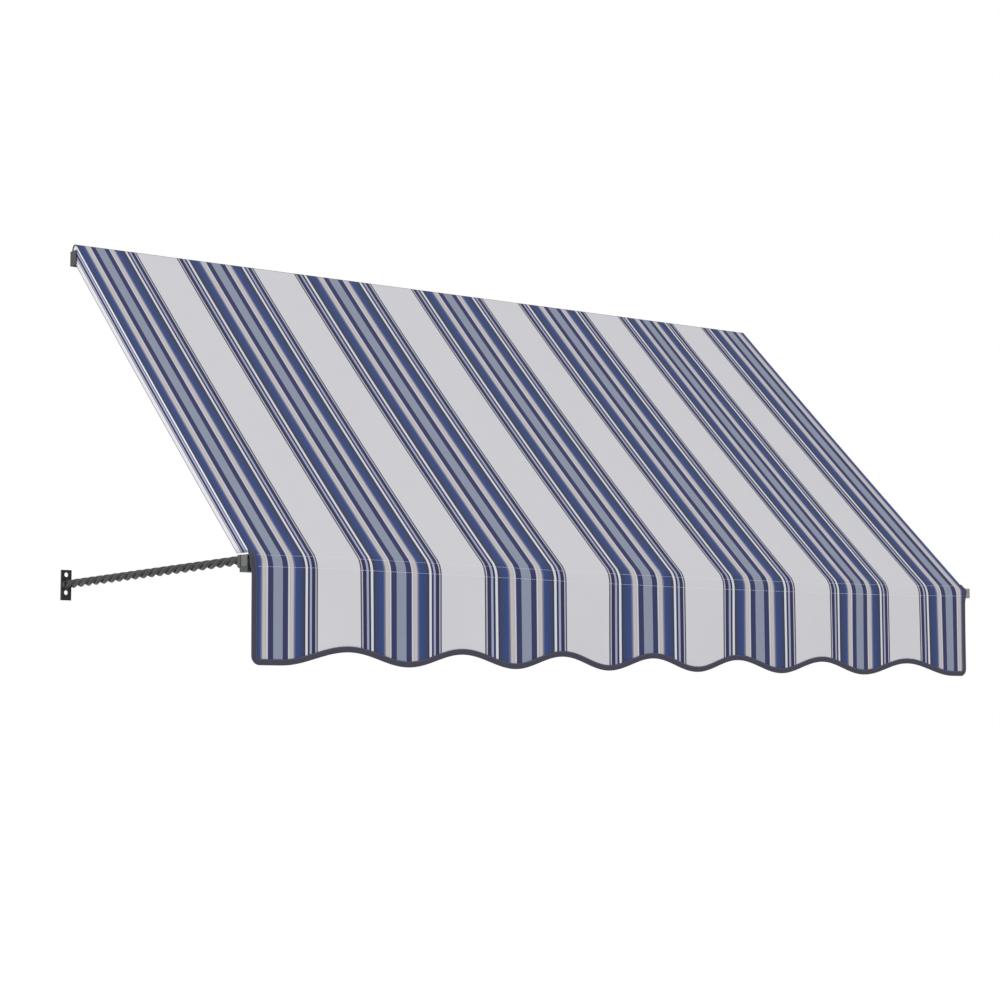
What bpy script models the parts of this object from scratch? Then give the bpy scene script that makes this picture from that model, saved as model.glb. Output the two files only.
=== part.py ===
# Window awning: one striped canvas sewn round a head rod and hung over a square
# front bar, held off the wall by three head brackets and two twisted steel arms.
# Metres, +Z up. The wall is the plane Y = 0 and the awning stands out to -Y.
# The origin is the back face of the middle head bracket.

import math

import bmesh
import bpy
from mathutils import Matrix, Vector

# Gap between two pieces that touch on the real awning
GAP = 0.0003
# How far a cutter runs past the face that it opens
OVERCUT = 0.002

# Canvas: overall sizes
FABRIC = 0.0012
HEAD_WIDTH = 1.6376
FRONT_WIDTH = 1.6511
FRONT_SHIFT = 0.01075
PROJECTION = 0.6427
DROP = 0.5963
BEND_RADIUS = 0.040
BEND_RADIUS_AT_ENDS = 0.012
BEND_TIGHT_FOR = 0.020
BEND_EASES_OVER = 0.080
RETURN_WIDTH = 0.0272
RETURN_HEAD_GAP = 0.0017
RETURN_BAR_GAP = 0.0032

# Canvas: pocket round the head rod
POCKET_SEAM = 0.022
POCKET_TAIL = 0.010
POCKET_LAP_GAP = 0.0004
POCKET_LAP_INSET = 0.002

# Valance: scallops run out from the middle, a little wider each time
VALANCE_DEPTH = 0.1706
SCALLOP_DEPTH = 0.0228
SCALLOP_PITCH = 0.1025
SCALLOP_SPREAD = 1.26
SCALLOP_HALVES = 7
SCALLOP_SHIFT = 0.0172
CORNER_RADIUS = 0.015

# Braid folded over the edge of the valance
TAPE = 0.0006
BINDING_WIDTH = 0.0098

# Head rod and its plugs
HEAD_ROD_RADIUS = 0.008
HEAD_ROD_WALL = 0.0015
HEAD_ROD_INSET = 0.0034
HEAD_PLUG_DEPTH = 0.009
PLUG_RIM = 0.0015
PLUG_CHAMFER = 0.0005

# Head brackets and the screws that hold the rod on them
BRACKET_WIDTH = 0.022
BRACKET_HEIGHT = 0.0272
BRACKET_METAL = 0.003
BRACKET_SHELF = 0.0192
BRACKET_FILLET = 0.004
BRACKET_EDGE = 0.0012
BRACKET_CLEAR_OF_RETURN = 0.0015
BRACKET_TOP_BELOW_HEAD = 0.0114
BRACKET_HOLE_RADIUS = 0.00275
BRACKET_HOLE_DROP = 0.0068
CHEEK_METAL = 0.0015
CHEEK_DEPTH = 0.022
CHEEK_CORNER = 0.003
CHEEK_CLEAR_OF_CANVAS = 0.0004
SCREW_INBOARD = 0.006
SCREW_RADIUS = 0.0020
SCREW_POINT = 0.0035
SCREW_POINT_RADIUS = 0.0010
SCREW_HEAD_RADIUS = 0.0040
SCREW_HEAD_HEIGHT = 0.0026
SCREW_HEAD_CROWN = 0.0014

# Front bar
BAR = 0.019
BAR_WALL = 0.0015
BAR_BEHIND_VALANCE = 0.0095
BAR_TOP_ABOVE_FOLD = 0.0045
BAR_PAST_LEFT_EDGE = 0.0042
BAR_PAST_RIGHT_EDGE = 0.0234
BAR_PLUG_DEPTH = 0.016

# Strip sewn behind the canvas, which holds the front bar
SLEEVE = 0.0008
SLEEVE_END_GAP = 0.002
SLEEVE_FRONT_TAIL = 0.0030
SLEEVE_BACK_TAIL_TOP = 0.0175
SLEEVE_BACK_TAIL_END = 0.0235

# Saddle at the end of each arm, with the screw that locks it to the bar
SADDLE_WIDTH = 0.020
SADDLE_PAST_LEFT_EDGE = 0.0050
SADDLE_PAST_RIGHT_EDGE = 0.0010
SADDLE_BACK = 0.0095
SADDLE_FOOT = 0.0086
SADDLE_FOOT_BEHIND_BAR = 0.0020
SADDLE_KNEE = 0.0025
SADDLE_LIP = 0.0028
SADDLE_LIP_HEIGHT = 0.0120
SADDLE_EDGE = 0.0008
SET_SCREW_RADIUS = 0.0040
SET_SCREW_RECESS = 0.0012
SET_SCREW_CHAMFER = 0.0005
SET_SCREW_KEY = 0.0040
SET_SCREW_KEY_DEPTH = 0.0040

# Twisted arm
ARM_RADIUS = 0.0078
ARM_STRANDS = 3
ARM_LEAD = 0.084
ARM_WALL_DROP = 0.0142
ARM_ABOVE_BAR_MIDDLE = 0.0017
ARM_TOE = 0.0077

# Wall flange with the root that the arm is welded to
FLANGE_WIDTH = 0.0196
FLANGE_METAL = 0.004
FLANGE_ABOVE_ARM = 0.0260
FLANGE_BELOW_ARM = 0.0285
FLANGE_HOLE_RADIUS = 0.0043
FLANGE_HOLE_ABOVE_ARM = 0.0174
FLANGE_HOLE_BELOW_ARM = 0.0147
ROOT_RADIUS = 0.0097
ROOT_TIP_RADIUS = 0.0084
ROOT_LENGTH = 0.008

# How finely the canvas and the arms are divided
CORNER_COLUMNS = 4
HEM_COLUMNS = 68
LAP_ROWS = 2
POCKET_ROWS = 12
BEND_ROWS = 7
ARM_SIDES_PER_STRAND = 6
ARM_STEPS_PER_TURN = 10

# Places that follow from the sizes above; (y, z) pairs are sections through X
HALF_PI = math.pi / 2
pocket_radius = HEAD_ROD_RADIUS + GAP + FABRIC
head_z = BRACKET_HEIGHT / 2 + BRACKET_TOP_BELOW_HEAD
rod_y = -(BRACKET_METAL + GAP + pocket_radius)
rod_z = head_z - pocket_radius
shelf_top = rod_z - pocket_radius - GAP
fold = Vector((-PROJECTION, head_z - DROP))
to_rod = Vector((rod_y, rod_z)) - fold
slope = math.atan2(to_rod.y, to_rod.x) + math.asin(pocket_radius / to_rod.length)
slope_length = math.sqrt(to_rod.length ** 2 - pocket_radius ** 2)
up_slope = Vector((math.cos(slope), math.sin(slope)))
off_slope = Vector((-math.sin(slope), math.cos(slope)))
turn = HALF_PI - slope
left_edge = FRONT_SHIFT - FRONT_WIDTH / 2
right_edge = FRONT_SHIFT + FRONT_WIDTH / 2
bar_front = fold.x + BAR_BEHIND_VALANCE
bar_back = bar_front + BAR
bar_top = fold.y + BAR_TOP_ABOVE_FOLD
bar_low = bar_top - BAR
bar_y = (bar_front + bar_back) / 2
bar_z = (bar_top + bar_low) / 2
saddle_back = bar_back + GAP + SADDLE_BACK
foot_top = bar_low - GAP
foot_low = foot_top - SADDLE_FOOT
arm_wall_z = bar_z - ARM_WALL_DROP
SIDES = {"left": -1, "right": 1}


def saddle_x(side):
    if side < 0:
        return left_edge - SADDLE_PAST_LEFT_EDGE + SADDLE_WIDTH / 2
    return right_edge + SADDLE_PAST_RIGHT_EDGE - SADDLE_WIDTH / 2


def arm_wall_x(side):
    return saddle_x(side) + side * ARM_TOE


def bend_reach(radius):
    """How far a bend of this radius reaches from the fold, up the slope and down the valance."""
    return radius * math.tan(turn / 2)


def bend_centre(radius):
    return Vector((fold.x + radius, fold.y - bend_reach(radius)))


def around(centre, radius, angle):
    return Vector((centre[0] + radius * math.cos(angle), centre[1] + radius * math.sin(angle)))


def arc(centre, radius, start, end, steps):
    return [around(centre, radius, start + (end - start) * k / steps) for k in range(steps + 1)]


# Scene and materials
def new_collection(name):
    made = bpy.data.collections.new(name)
    bpy.context.scene.collection.children.link(made)
    return made


def material(name, colour, roughness, metallic=0.0):
    made = bpy.data.materials.new(name)
    made.use_nodes = True
    shader = made.node_tree.nodes["Principled BSDF"]
    shader.inputs["Base Color"].default_value = (*colour, 1.0)
    shader.inputs["Roughness"].default_value = roughness
    shader.inputs["Metallic"].default_value = metallic
    return made


for item in list(bpy.data.objects):
    bpy.data.objects.remove(item, do_unlink=True)
PARTS = new_collection("window_awning")
TOOLS = new_collection("cutters")
CANVAS = material("striped_canvas", (0.20, 0.22, 0.38), 0.9)
BRAID = material("navy_braid", (0.045, 0.042, 0.08), 0.85)
SLEEVE_CLOTH = material("sleeve_cloth", (0.55, 0.55, 0.58), 0.9)
BLACK_STEEL = material("black_coated_steel", (0.03, 0.03, 0.032), 0.5)
GREY_PLASTIC = material("grey_plastic", (0.20, 0.20, 0.20), 0.5)
ALUMINIUM = material("aluminium_tube", (0.35, 0.35, 0.36), 0.4, 1.0)
WHITE_PLASTIC = material("pale_plastic", (0.72, 0.72, 0.72), 0.5)
ZINC = material("zinc_plated_steel", (0.42, 0.43, 0.45), 0.35, 1.0)


# Shape helpers
def put(name, mesh, finish, collection):
    item = bpy.data.objects.new(name, mesh)
    collection.objects.link(item)
    if finish:
        mesh.materials.append(finish)
    if collection == TOOLS:
        item.hide_render = True
        item.display_type = "WIRE"
    return item


def mesh_of(bm, name):
    bmesh.ops.recalc_face_normals(bm, faces=bm.faces)
    mesh = bpy.data.meshes.new(name)
    bm.to_mesh(mesh)
    bm.free()
    return mesh


def smooth(item, degrees=35):
    item.data.shade_smooth()
    item.data.set_sharp_from_angle(angle=math.radians(degrees))
    return item


def box(name, low, high, finish=None, collection=None):
    bm = bmesh.new()
    bmesh.ops.create_cube(bm, size=1.0)
    bmesh.ops.scale(bm, vec=Vector(high) - Vector(low), verts=bm.verts)
    bmesh.ops.translate(bm, vec=(Vector(high) + Vector(low)) / 2, verts=bm.verts)
    return put(name, mesh_of(bm, name), finish, collection or TOOLS)


def cone(name, axis, start, length, radius, tip=None, sides=24):
    """A round tool from start along axis; tip is its far radius where it tapers."""
    bm = bmesh.new()
    bmesh.ops.create_cone(
        bm, cap_ends=True, segments=sides, radius1=radius, radius2=tip or radius, depth=length
    )
    bmesh.ops.translate(bm, vec=(0, 0, length / 2), verts=bm.verts)
    turned = Vector((0, 0, 1)).rotation_difference(Vector(axis)).to_matrix().to_4x4()
    bmesh.ops.transform(bm, matrix=Matrix.Translation(start) @ turned, verts=bm.verts)
    return put(name, mesh_of(bm, name), None, TOOLS)


def combine(item, tool, operation):
    step = item.modifiers.new(tool.name, "BOOLEAN")
    step.operation = operation
    step.object = tool
    step.solver = "EXACT"
    return item


def cut(item, tool):
    return combine(item, tool, "DIFFERENCE")


def join(item, tool):
    return combine(item, tool, "UNION")


def turned(name, outline, finish, location, lean=0.0, steps=32):
    """A turned piece. The outline holds (radius, height) pairs, outer side first, from the top
    down, and lean turns its axis from +Z towards +X."""
    mesh = bpy.data.meshes.new(name)
    points = [(radius, 0.0, height) for radius, height in outline]
    edges = [(i, i + 1) for i in range(len(points) - 1)]
    if outline[0][0] > 0:
        edges.append((len(points) - 1, 0))
    mesh.from_pydata(points, edges, [])
    item = put(name, mesh, finish, PARTS)
    item.location = location
    item.rotation_euler = (0, lean, 0)
    spin = item.modifiers.new("turning", "SCREW")
    spin.angle = 2 * math.pi
    spin.steps = steps
    spin.render_steps = steps
    spin.use_merge_vertices = True
    spin.merge_threshold = 0.00001
    spin.use_smooth_shade = True
    return item


def settled(curve_object, name, finish, collection):
    """Turn a curve into a closed mesh object with welded caps."""
    bpy.context.view_layer.update()
    depsgraph = bpy.context.evaluated_depsgraph_get()
    mesh = bpy.data.meshes.new_from_object(curve_object.evaluated_get(depsgraph))
    bm = bmesh.new()
    bm.from_mesh(mesh)
    bmesh.ops.remove_doubles(bm, verts=bm.verts, dist=0.00001)
    bmesh.ops.recalc_face_normals(bm, faces=bm.faces)
    bm.to_mesh(mesh)
    bm.free()
    mesh.name = name
    mesh.materials.clear()
    item = put(name, mesh, finish, collection)
    item.matrix_world = curve_object.matrix_world
    bpy.data.objects.remove(curve_object, do_unlink=True)
    return item


def flat_curve(name, outline, closed):
    """A 2D curve through (x, y) pairs, linked among the tools."""
    curve = bpy.data.curves.new(name, "CURVE")
    curve.dimensions = "2D"
    line = curve.splines.new("POLY")
    line.points.add(len(outline) - 1)
    for node, (x, y) in zip(line.points, outline):
        node.co = (x, y, 0, 1)
    line.use_cyclic_u = closed
    item = bpy.data.objects.new(name, curve)
    TOOLS.objects.link(item)
    return item


def cloth(name, columns, rows, point, thickness, finish, add_flaps=None):
    """A cloth shell. point(column, row) places each node of a grid on the outer side of the
    cloth, whose normals point to the inner side, and Solidify gives it depth that way."""
    bm = bmesh.new()
    bmesh.ops.create_grid(bm, x_segments=columns, y_segments=rows, size=0.5)
    nodes = {}
    for vert in bm.verts:
        nodes[(round((vert.co.x + 0.5) * columns), round((vert.co.y + 0.5) * rows))] = vert
    for (column, row), vert in nodes.items():
        vert.co = point(column, row)
    if add_flaps:
        add_flaps(bm, nodes)
    mesh = bpy.data.meshes.new(name)
    bm.to_mesh(mesh)
    bm.free()
    item = put(name, mesh, finish, PARTS)
    shell = item.modifiers.new("cloth", "SOLIDIFY")
    shell.thickness = thickness
    shell.offset = 1.0
    shell.use_even_offset = True
    flat = item.modifiers.new("flat stretches", "DECIMATE")
    flat.decimate_type = "DISSOLVE"
    flat.angle_limit = math.radians(0.02)
    return smooth(item, 50)


# Canvas: pocket, slope, bend and scalloped valance are one sheet, and its two sides are
# folded down as returns
def scallop_drop(x):
    """Depth of the hem below the fold at x."""
    offset = abs(x - SCALLOP_SHIFT)
    halves = min(offset / SCALLOP_PITCH - SCALLOP_SPREAD * offset ** 3, SCALLOP_HALVES)
    return VALANCE_DEPTH - SCALLOP_DEPTH * (1 + math.cos(math.pi * halves)) / 2


def hem_points(inset):
    """The hem as (x, depth below the fold), moved in by inset, with round corners."""
    left = left_edge + inset
    right = right_edge - inset
    radius = CORNER_RADIUS - inset
    corner = [HALF_PI * k / CORNER_COLUMNS for k in range(CORNER_COLUMNS)]
    depth = [scallop_drop(x) - inset for x in (left, right)]
    points = [(left + radius * (1 - math.cos(a)), depth[0] - radius * (1 - math.sin(a))) for a in corner]
    start = left + radius
    span = right - left - 2 * radius
    for k in range(HEM_COLUMNS + 1):
        x = start + span * k / HEM_COLUMNS
        points.append((x, scallop_drop(x) - inset))
    points += [
        (right - radius * (1 - math.cos(a)), depth[1] - radius * (1 - math.sin(a)))
        for a in reversed(corner)
    ]
    return points


def bend_at(x):
    """The bend is tight over the saddles and slack between them."""
    from_end = min(x - left_edge, right_edge - x)
    share = min(max((from_end - BEND_TIGHT_FOR) / BEND_EASES_OVER, 0.0), 1.0)
    eased = share * share * (3 - 2 * share)
    return BEND_RADIUS_AT_ENDS + (BEND_RADIUS - BEND_RADIUS_AT_ENDS) * eased


canvas_hem = hem_points(TAPE + GAP)
canvas_columns = len(canvas_hem) - 1
first_slope_row = LAP_ROWS + POCKET_ROWS
return_top_row = first_slope_row + 1
return_low_row = first_slope_row + 2
bend_row = first_slope_row + 3
valance_row = bend_row + BEND_ROWS
canvas_rows = valance_row + 1
return_top = slope_length - RETURN_HEAD_GAP
return_low = (bar_top + RETURN_BAR_GAP - fold.y) / math.sin(slope)


def slope_x(share, up):
    """X on the slope: share runs across from 0 to 1, and up from 0 at the fold to 1."""
    width = FRONT_WIDTH + (HEAD_WIDTH - FRONT_WIDTH) * up
    return FRONT_SHIFT * (1 - up) + (share - 0.5) * width


def canvas_point(column, row):
    hem_x, hem_depth = canvas_hem[column]
    share = (hem_x - canvas_hem[0][0]) / (canvas_hem[-1][0] - canvas_hem[0][0])
    half_wedge = math.atan2(pocket_radius, POCKET_SEAM)
    angle_on = slope + HALF_PI
    angle_off = angle_on + math.pi - 2 * half_wedge
    if row < first_slope_row:
        trim = POCKET_LAP_INSET if row <= LAP_ROWS else 0.0
        x = slope_x(share, 1.0) * (1 - 2 * trim / HEAD_WIDTH)
        if row < LAP_ROWS:
            back = slope_length - (POCKET_SEAM + POCKET_TAIL, POCKET_SEAM)[row]
            spot = fold + up_slope * back - off_slope * (2 * FABRIC + POCKET_LAP_GAP)
        else:
            share_round = (row - LAP_ROWS) / POCKET_ROWS
            angle = angle_off + (angle_on + 2 * math.pi - angle_off) * share_round
            spot = around((rod_y, rod_z), pocket_radius, angle)
        return Vector((x, spot.x, spot.y))
    radius = bend_at(hem_x)
    reach = bend_reach(radius)
    if row <= bend_row:
        up = (slope_length, return_top, max(return_low, reach + FABRIC), reach)[row - first_slope_row]
        spot = fold + up_slope * up
        return Vector((slope_x(share, up / slope_length), spot.x, spot.y))
    if row <= valance_row:
        spot = around(bend_centre(radius), radius, slope + HALF_PI + turn * (row - bend_row) / BEND_ROWS)
        return Vector((hem_x, spot.x, spot.y))
    return Vector((hem_x, fold.x, fold.y - hem_depth))


def fold_returns(bm, nodes):
    """Fold the sides of the slope down, cut plumb at the head and level above the bar."""
    for column in (0, canvas_columns):
        top = nodes[(column, return_top_row)]
        low = nodes[(column, return_low_row)]
        made = bmesh.ops.extrude_edge_only(bm, edges=[bm.edges.get((top, low))])["geom"]
        flap = sorted(
            (item for item in made if isinstance(item, bmesh.types.BMVert)), key=lambda vert: vert.co.z
        )
        slides = (RETURN_WIDTH / math.tan(slope), -RETURN_WIDTH * math.tan(slope))
        for vert, slide in zip(flap, slides):
            move = up_slope * slide - off_slope * RETURN_WIDTH
            vert.co.y += move.x
            vert.co.z += move.y


def build_canvas():
    cover = cloth("canopy", canvas_columns, canvas_rows, canvas_point, FABRIC, CANVAS, fold_returns)
    through = FABRIC + 2 * OVERCUT
    for x in screw_places():
        bottom = (x, rod_y, rod_z - pocket_radius - OVERCUT)
        cut(cover, cone("pocket_hole", (0, 0, 1), bottom, through, SCREW_RADIUS + GAP, sides=12))


# Braid folded over the sides and the scalloped hem of the valance
def build_binding():
    half = FABRIC / 2 + GAP + TAPE
    slot = FABRIC / 2 + GAP
    section = [
        (0, half),
        (0, -half),
        (-BINDING_WIDTH, -half),
        (-BINDING_WIDTH, -slot),
        (-TAPE, -slot),
        (-TAPE, slot),
        (-BINDING_WIDTH, slot),
        (-BINDING_WIDTH, half),
    ]
    guide = flat_curve("binding_section", section, True)
    guide.hide_render = True
    guide.display_type = "WIRE"
    top = bend_centre(BEND_RADIUS_AT_ENDS).y
    path = [(left_edge, top)]
    path += [(x, fold.y - depth) for x, depth in hem_points(0.0)]
    path.append((right_edge, top))
    sweep = flat_curve("binding_path", path, False)
    sweep.data.bevel_mode = "OBJECT"
    sweep.data.bevel_object = guide
    sweep.data.use_fill_caps = True
    sweep.location = (0, fold.x + FABRIC / 2, 0)
    sweep.rotation_euler = (HALF_PI, 0, 0)
    settled(sweep, "valance_binding", BRAID, PARTS)


# Strip sewn behind the canvas at both stitch rows, round the back of the front bar
def sleeve_path():
    """Outer side of the strip as (y, z): up behind the bend, over the bar and down again."""
    outer = BEND_RADIUS - FABRIC - GAP
    centre = bend_centre(BEND_RADIUS)
    front_tail = math.pi - math.asin((fold.y - SLEEVE_FRONT_TAIL - centre.y) / outer)
    over_bar = math.pi - math.asin((bar_top + GAP + SLEEVE - centre.y) / outer)
    path = arc(centre, outer, front_tail, over_bar, 4)
    edge = GAP + SLEEVE
    path += arc((bar_back, bar_top), edge, HALF_PI, 0, 3)
    path += arc((bar_back, bar_low), edge, 0, -HALF_PI, 3)
    path.append(Vector((bar_front, bar_low - edge)))
    tail_y = fold.x + FABRIC + GAP + SLEEVE
    path.append(Vector((tail_y, fold.y - SLEEVE_BACK_TAIL_TOP)))
    path.append(Vector((tail_y, fold.y - SLEEVE_BACK_TAIL_END)))
    return path


def build_sleeve():
    path = sleeve_path()
    ends = [saddle_x(side) - side * (SADDLE_WIDTH / 2 + SLEEVE_END_GAP) for side in (1, -1)]

    def point(column, row):
        return Vector((ends[column], path[row].x, path[row].y))

    cloth("bar_sleeve", 1, len(path) - 1, point, SLEEVE, SLEEVE_CLOTH)


# Head rod: a round tube in the pocket, with a plug in each end
def build_head_rod():
    half = HEAD_WIDTH / 2 - HEAD_ROD_INSET
    bore = HEAD_ROD_RADIUS - HEAD_ROD_WALL
    outline = [(HEAD_ROD_RADIUS, half), (HEAD_ROD_RADIUS, -half), (bore, -half), (bore, half)]
    rod = turned("head_rod", outline, ALUMINIUM, (0, rod_y, rod_z), HALF_PI, 32)
    through = HEAD_ROD_WALL + 2 * OVERCUT
    for x in screw_places():
        bottom = (x, rod_y, rod_z - HEAD_ROD_RADIUS - OVERCUT)
        cut(rod, cone("rod_hole", (0, 0, 1), bottom, through, SCREW_RADIUS + GAP, sides=12))
    shank = bore - GAP
    outline = [
        (0, PLUG_RIM + GAP),
        (HEAD_ROD_RADIUS - PLUG_CHAMFER, PLUG_RIM + GAP),
        (HEAD_ROD_RADIUS, PLUG_RIM + GAP - PLUG_CHAMFER),
        (HEAD_ROD_RADIUS, GAP),
        (shank, GAP),
        (shank, PLUG_CHAMFER - HEAD_PLUG_DEPTH),
        (shank - PLUG_CHAMFER, -HEAD_PLUG_DEPTH),
        (0, -HEAD_PLUG_DEPTH),
    ]
    for word, side in SIDES.items():
        name = "head_rod_plug_" + word
        turned(name, outline, WHITE_PLASTIC, (side * half, rod_y, rod_z), side * HALF_PI, 24)


# Head brackets: a bent steel angle, screwed to the wall, whose shelf carries the rod. The
# outer two also have a cheek that closes the end of the pocket.
def bracket_places():
    outer = HEAD_WIDTH / 2 - FABRIC - BRACKET_CLEAR_OF_RETURN - BRACKET_WIDTH / 2
    return (-outer, 0.0, outer)


def screw_places():
    """The outer screws stand inboard of their brackets, clear of the rod's plugs."""
    left, middle, right = bracket_places()
    return (left + SCREW_INBOARD, middle, right - SCREW_INBOARD)


def bracket_outline():
    """Section of the angle as (distance from the wall, height)."""
    half = BRACKET_HEIGHT / 2
    edge = BRACKET_EDGE
    shelf_low = shelf_top - BRACKET_METAL
    outline = [(0, half), (0, -half), (BRACKET_METAL - edge, -half), (BRACKET_METAL, -half + edge)]
    outline += [(BRACKET_METAL, shelf_low)]
    outline += [(BRACKET_SHELF - edge, shelf_low), (BRACKET_SHELF, shelf_low + edge)]
    outline += [(BRACKET_SHELF, shelf_top - edge), (BRACKET_SHELF - edge, shelf_top)]
    centre = (BRACKET_METAL + BRACKET_FILLET, shelf_top + BRACKET_FILLET)
    outline += [tuple(spot) for spot in arc(centre, BRACKET_FILLET, -HALF_PI, -math.pi, 4)]
    outline += [(BRACKET_METAL, half - edge), (BRACKET_METAL - edge, half)]
    return outline


def folded_bar(name, outline, x, width, finish, collection=None):
    """A bar of the given section, width wide and centred on x."""
    blank = flat_curve("blank", outline, True)
    blank.data.fill_mode = "BOTH"
    blank.data.extrude = width / 2
    blank.location = (x, 0, 0)
    blank.rotation_euler = (HALF_PI, 0, -HALF_PI)
    return settled(blank, name, finish, collection or PARTS)


def add_cheek(bracket, side):
    """Lengthen the leg past the canvas, behind its pocket, and fold it forward there."""
    half = BRACKET_HEIGHT / 2
    inner = HEAD_WIDTH / 2 + CHEEK_CLEAR_OF_CANVAS
    outer = inner + CHEEK_METAL
    start = bracket_places()[2]
    leg = [(0, half), (0, -half), (BRACKET_METAL, -half), (BRACKET_METAL, half)]
    middle = (start + outer) / 2
    join(bracket, folded_bar("leg_end", leg, side * middle, outer - start, None, TOOLS))
    front = CHEEK_DEPTH - CHEEK_CORNER
    cheek = [(0, half), (0, -half)]
    cheek += [tuple(spot) for spot in arc((front, CHEEK_CORNER - half), CHEEK_CORNER, -HALF_PI, 0, 4)]
    cheek += [tuple(spot) for spot in arc((front, half - CHEEK_CORNER), CHEEK_CORNER, 0, HALF_PI, 4)]
    join(bracket, folded_bar("cheek", cheek, side * (inner + outer) / 2, CHEEK_METAL, None, TOOLS))


def build_brackets():
    shelf_low = shelf_top - BRACKET_METAL
    through = BRACKET_METAL + 2 * OVERCUT
    for word, x, screw_x in zip(("left", "centre", "right"), bracket_places(), screw_places()):
        bracket = folded_bar("head_bracket_" + word, bracket_outline(), x, BRACKET_WIDTH, BLACK_STEEL)
        if word in SIDES:
            add_cheek(bracket, SIDES[word])
        wall = (x, OVERCUT, -BRACKET_HOLE_DROP)
        cut(bracket, cone("bracket_wall_hole", (0, -1, 0), wall, through, BRACKET_HOLE_RADIUS, sides=20))
        shelf = (screw_x, rod_y, shelf_low - OVERCUT)
        cut(bracket, cone("bracket_shelf_hole", (0, 0, 1), shelf, through, SCREW_RADIUS + GAP, sides=12))
        build_head_screw(word, screw_x, shelf_low - GAP)


def build_head_screw(word, x, seat):
    """Round-headed screw, up through the shelf and the pocket into the rod."""
    reach = rod_z - HEAD_ROD_RADIUS + HEAD_ROD_WALL + SCREW_POINT - seat
    outline = [
        (0, reach),
        (SCREW_POINT_RADIUS, reach),
        (SCREW_RADIUS, reach - SCREW_RADIUS),
        (SCREW_RADIUS, 0),
        (SCREW_HEAD_RADIUS, 0),
    ]
    crown = arc((0, 0), 1.0, 0, HALF_PI, 4)
    rim = SCREW_HEAD_HEIGHT - SCREW_HEAD_CROWN
    outline += [(SCREW_HEAD_RADIUS * spot.x, -rim - SCREW_HEAD_CROWN * spot.y) for spot in crown[:-1]]
    outline.append((0, -SCREW_HEAD_HEIGHT))
    turned("head_screw_" + word, outline, ZINC, (x, rod_y, seat), 0.0, 16)


# Front bar: a square tube with a grey plug in each end
def build_front_bar():
    low = left_edge - BAR_PAST_LEFT_EDGE + PLUG_RIM + GAP
    high = right_edge + BAR_PAST_RIGHT_EDGE - PLUG_RIM - GAP
    bar = box("front_bar", (low, bar_front, bar_low), (high, bar_back, bar_top), ALUMINIUM, PARTS)
    bore = box(
        "bar_bore",
        (low - OVERCUT, bar_front + BAR_WALL, bar_low + BAR_WALL),
        (high + OVERCUT, bar_back - BAR_WALL, bar_top - BAR_WALL),
    )
    cut(bar, bore)
    for word, side in SIDES.items():
        end = high if side > 0 else low
        faces = sorted((end + side * GAP, end + side * (GAP + PLUG_RIM)))
        rim_low = (faces[0], bar_front, bar_low)
        rim_high = (faces[1], bar_back, bar_top)
        plug = box("front_bar_plug_" + word, rim_low, rim_high, GREY_PLASTIC, PARTS)
        inner = sorted((end + side * (GAP + PLUG_RIM / 2), end - side * BAR_PLUG_DEPTH))
        room = BAR_WALL + GAP
        stem = box(
            "plug_stem",
            (inner[0], bar_front + room, bar_low + room),
            (inner[1], bar_back - room, bar_top - room),
        )
        join(plug, stem)


# Saddle: a cast hook on the end of each arm that takes the bar from behind and below
def saddle_outline():
    """Section of the hook as (distance from the wall, height), from its foot round to its lip."""
    back, inner, front = -saddle_back, -bar_back - GAP, -bar_front + GAP
    heel = inner - SADDLE_FOOT_BEHIND_BAR
    tip = front + SADDLE_LIP
    lip_top = bar_low + SADDLE_LIP_HEIGHT
    edge = SADDLE_EDGE
    outline = [(back, foot_top), (heel, foot_top - SADDLE_KNEE), (heel, foot_low + edge)]
    outline += [(heel + edge, foot_low), (tip - edge, foot_low), (tip, foot_low + edge)]
    outline += [(tip, lip_top - edge), (tip - edge, lip_top), (front, lip_top), (front, foot_top)]
    outline += [(inner, foot_top), (inner, bar_top), (back + edge, bar_top), (back, bar_top - edge)]
    return outline


def build_saddle(word, side):
    x = saddle_x(side)
    saddle = folded_bar("arm_saddle_" + word, saddle_outline(), x, SADDLE_WIDTH, BLACK_STEEL)
    start = (x, bar_y, foot_low - OVERCUT)
    through = SADDLE_FOOT + 2 * OVERCUT
    cut(saddle, cone("set_screw_hole", (0, 0, 1), start, through, SET_SCREW_RADIUS + GAP))
    build_set_screw(word, x)


def build_set_screw(word, x):
    """Grub screw in the foot, tight against the bar, with a hexagon socket below."""
    length = SADDLE_FOOT - SET_SCREW_RECESS
    low = foot_low + SET_SCREW_RECESS
    edge = SET_SCREW_CHAMFER
    outline = [
        (0, length),
        (SET_SCREW_RADIUS - edge, length),
        (SET_SCREW_RADIUS, length - edge),
        (SET_SCREW_RADIUS, edge),
        (SET_SCREW_RADIUS - edge, 0),
        (0, 0),
    ]
    screw = turned("set_screw_" + word, outline, ZINC, (x, bar_y, low), 0.0, 24)
    corner = SET_SCREW_KEY / 2 / math.cos(math.pi / 6)
    start = (x, bar_y, low - OVERCUT)
    cut(screw, cone("set_screw_key", (0, 0, 1), start, SET_SCREW_KEY_DEPTH + OVERCUT, corner, sides=6))


# Arm: a bar of three strands, twisted to the left, between the flange and the saddle
def strand_outline(angle):
    """Distance from the axis to the outside of round strands laid side by side."""
    strand = ARM_RADIUS / (1 + 1 / math.sin(math.pi / ARM_STRANDS))
    offset = ARM_RADIUS - strand
    pitch = 2 * math.pi / ARM_STRANDS
    local = (angle + pitch / 2) % pitch - pitch / 2
    return offset * math.cos(local) + math.sqrt(strand ** 2 - (offset * math.sin(local)) ** 2)


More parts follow.
